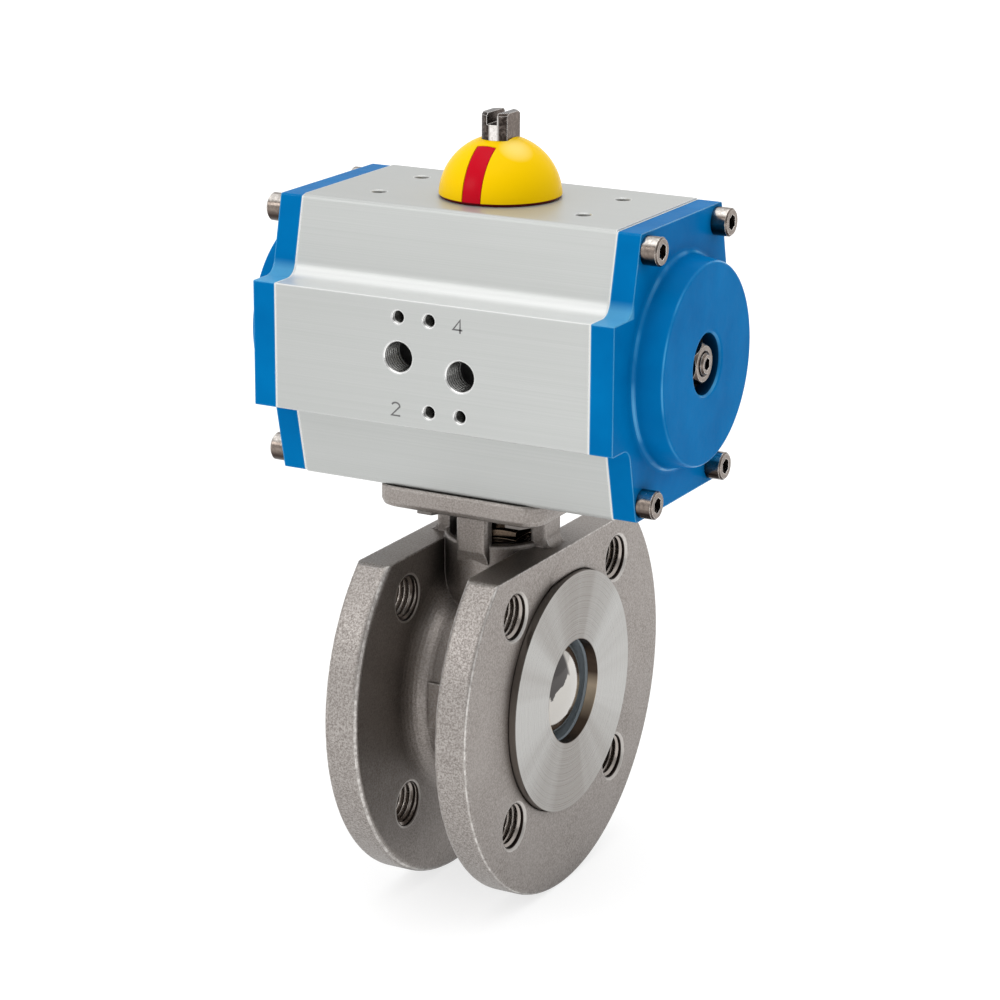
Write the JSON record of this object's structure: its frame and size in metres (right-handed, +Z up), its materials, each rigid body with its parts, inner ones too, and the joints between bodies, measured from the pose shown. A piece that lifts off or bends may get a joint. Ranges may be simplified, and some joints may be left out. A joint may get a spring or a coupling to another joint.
{
  "type": "pneumatic actuated ball valve",
  "caption": "Compact flanged ball valve with a double-acting rack-and-pinion air actuator, end caps, stroke stops and a dome position indicator.",
  "frame": {"origin": "centre of the inlet flange's sealing face, on the pipe axis", "axes": "+X along the pipe from inlet to outlet, +Z up the stem towards the actuator, -Y the side with the air ports"},
  "size_m": [0.1612, 0.15, 0.282],
  "materials": {
    "cast_steel": "sand-cast, blasted",
    "turned_steel": "turned",
    "polished_steel": "polished",
    "steel": "machined",
    "screw_steel": "bright",
    "spring_steel": "dark",
    "nickel_steel": "nickel-plated",
    "ptfe": "smooth",
    "bearing_plastic": "smooth",
    "rubber": "matte",
    "gasket_fibre": "pale fibre",
    "anodised": "clear anodised, fine extrusion lines",
    "cast_aluminium": "as cast",
    "blue_paint": "blue gloss paint over a cast surface",
    "red_plastic": "gloss",
    "yellow_plastic": "gloss"
  },
  "bodies": {
    "housing": {"valve_body": "cast_steel", "body_insert": "turned_steel", "insert_gasket": "ptfe", "seat_inlet": "ptfe", "seat_outlet": "ptfe", "stem_thrust_washer": "ptfe", "stem_packing": "ptfe", "gland_ring": "steel", "centring_ring": "steel", "mounting_bolts": "spring_steel", "mounting_washers": "spring_steel", "actuator_body": "anodised", "end_cap_left": "blue_paint", "end_cap_right": "blue_paint", "cap_gasket_left": "gasket_fibre", "cap_gasket_right": "gasket_fibre", "cap_screws_left": "screw_steel", "cap_screws_right": "screw_steel", "stop_nut_left": "screw_steel", "stop_nut_right": "screw_steel", "stop_seal_left": "rubber", "stop_seal_right": "rubber", "pinion_bearing_top": "bearing_plastic", "pinion_bearing_bottom": "bearing_plastic", "thrust_washer": "bearing_plastic"},
    "spindle": {"ball": "polished_steel", "stem": "steel", "disc_springs": "spring_steel", "lock_washer": "steel", "gland_nut": "steel", "lock_nut": "steel", "pinion": "nickel_steel", "pinion_o_ring_top": "rubber", "pinion_o_ring_bottom": "rubber", "steel_washer": "steel", "circlip": "spring_steel", "indicator_base": "red_plastic", "indicator_dome": "yellow_plastic"},
    "piston_left": {"piston_left": "cast_aluminium", "piston_o_ring_left": "rubber", "piston_guide_ring_left": "bearing_plastic", "rack_pad_left": "bearing_plastic"},
    "piston_right": {"piston_right": "cast_aluminium", "piston_o_ring_right": "rubber", "piston_guide_ring_right": "bearing_plastic", "rack_pad_right": "bearing_plastic"},
    "stop_left": {"stop_screw_left": "screw_steel"},
    "stop_right": {"stop_screw_right": "screw_steel"}
  },
  "joints": [
    {"name": "valve_turn", "type": "hinge", "parent": "housing", "child": "spindle", "pos_m": [0.031, 0, 0.12], "axis": [0, 0, 1], "range_deg": [0, 90]},
    {"name": "piston_left_slide", "type": "slide", "parent": "housing", "child": "piston_left", "axis": [-1, 0, 0], "range_m": [0, 0.0189]},
    {"name": "piston_right_slide", "type": "slide", "parent": "housing", "child": "piston_right", "axis": [1, 0, 0], "range_m": [0, 0.0189]},
    {"name": "stop_left_adjust", "type": "slide", "parent": "housing", "child": "stop_left", "axis": [-1, 0, 0], "range_m": [0, 0.002]},
    {"name": "stop_right_adjust", "type": "slide", "parent": "housing", "child": "stop_right", "axis": [1, 0, 0], "range_m": [0, 0.002]}
  ],
  "couplings": [
    {"joint": "piston_left_slide", "follows": "valve_turn", "m_per_rad": 0.012},
    {"joint": "piston_right_slide", "follows": "valve_turn", "m_per_rad": 0.012}
  ]
}
